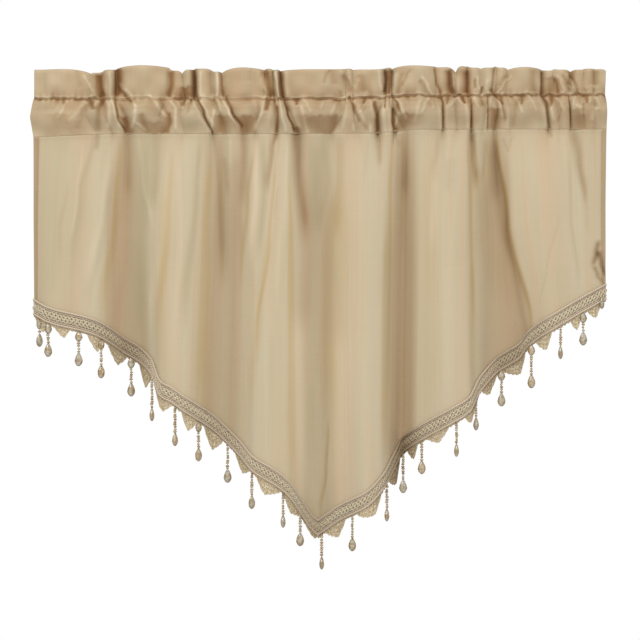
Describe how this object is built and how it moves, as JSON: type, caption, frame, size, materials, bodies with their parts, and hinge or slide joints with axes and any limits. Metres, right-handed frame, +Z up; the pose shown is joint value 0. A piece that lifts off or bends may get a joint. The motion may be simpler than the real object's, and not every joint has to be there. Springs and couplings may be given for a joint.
{
  "type": "rod pocket valance curtain with beaded trim",
  "caption": "Short gathered curtain panel with a ruffled header, an open rod pocket and a pointed hem edged with braid, lace points and hanging beads.",
  "frame": {"origin": "on the top edge of the header, halfway along it, in the middle of the cloth's depth", "axes": "+Z up, +X along the rod pocket to the viewer's right, the front faces -Y"},
  "size_m": [0.8047, 0.0516, 0.706],
  "materials": {
    "heading": "gathered silky plain weave, double layer",
    "panel": "silky plain weave with a soft two-coloured sheen",
    "trim_left": "woven braid, lace points and clear champagne beads",
    "trim_right": "woven braid, lace points and clear champagne beads"
  },
  "bodies": {
    "root": {"heading": "heading", "panel": "panel", "trim_left": "trim_left", "trim_right": "trim_right"}
  },
  "joints": []
}
